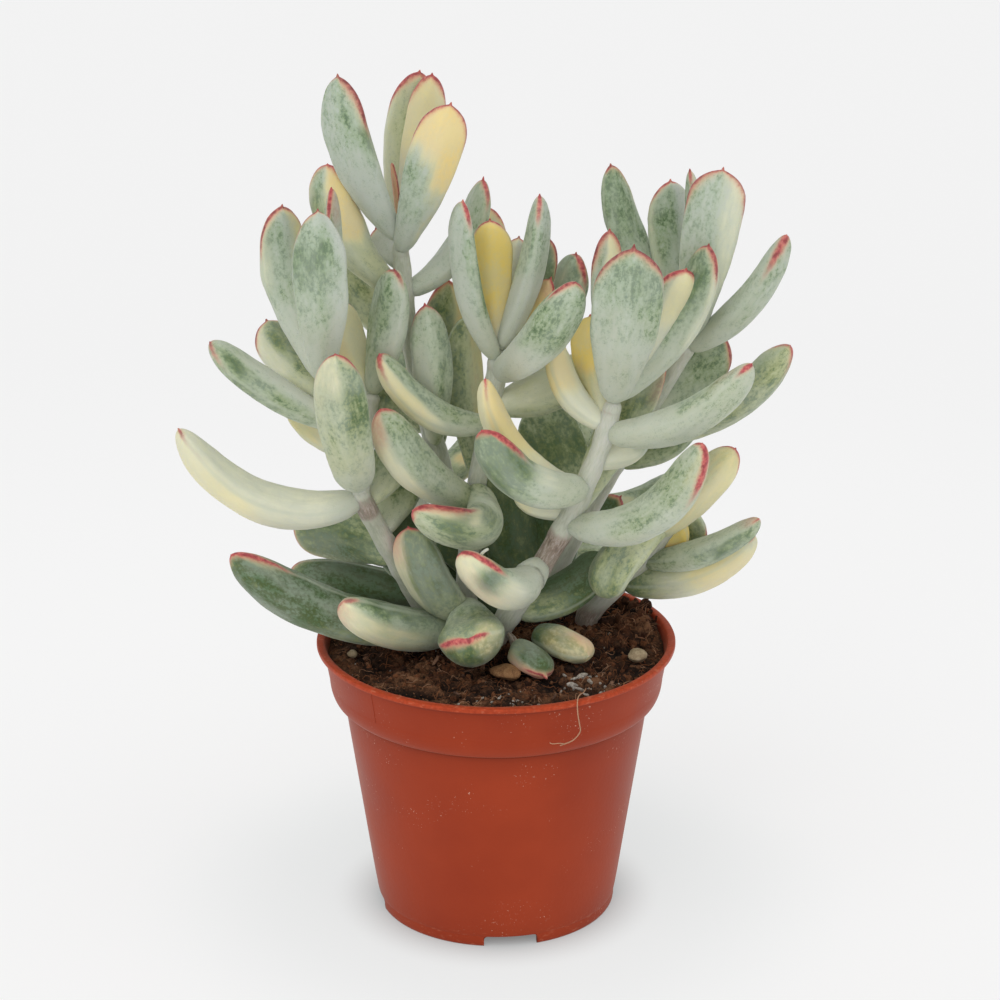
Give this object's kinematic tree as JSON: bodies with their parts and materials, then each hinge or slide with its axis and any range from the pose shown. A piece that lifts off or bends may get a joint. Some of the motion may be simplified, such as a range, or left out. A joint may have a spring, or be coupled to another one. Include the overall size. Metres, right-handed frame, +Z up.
{
  "type": "potted pigs ear plant",
  "caption": "Variegated pig's ear succulent with upright leafy shoots of thick grey-green and cream leaves, rooted in soil in a thin terracotta-coloured plastic nursery pot.",
  "frame": {"origin": "the middle of the whole plant's box, on the ground under the pot, about 15 mm behind the pot's own axis", "axes": "+Z up, -Y towards the viewer at the plant's front, +X to the viewer's right"},
  "size_m": [0.1718, 0.134, 0.251],
  "materials": {
    "pot_plastic": "satin",
    "soil": "matte",
    "leaf_tall": "matte",
    "leaf_middle": "matte",
    "leaf_front": "matte",
    "leaf_left": "matte",
    "leaf_low": "matte",
    "leaf_right_back": "matte",
    "leaf_right": "matte",
    "leaf_back": "matte",
    "fallen_leaf_green": "matte",
    "fallen_leaf_cream": "matte",
    "stone_brown": "matte",
    "stone_beige": "matte"
  },
  "bodies": {
    "root": {"pot": "pot_plastic", "soil": "soil", "shoot_tall": "leaf_tall", "shoot_middle": "leaf_middle", "shoot_front": "leaf_front", "shoot_left": "leaf_left", "shoot_low": "leaf_low", "shoot_right_back": "leaf_right_back", "shoot_right": "leaf_right", "shoot_back_left": "leaf_back", "shoot_back_right": "leaf_back", "fallen_leaf_pointed": "fallen_leaf_green", "fallen_leaf_cream": "fallen_leaf_cream", "stone_brown": "stone_brown", "stone_beige": "stone_beige", "stone_small": "stone_beige"}
  },
  "joints": []
}
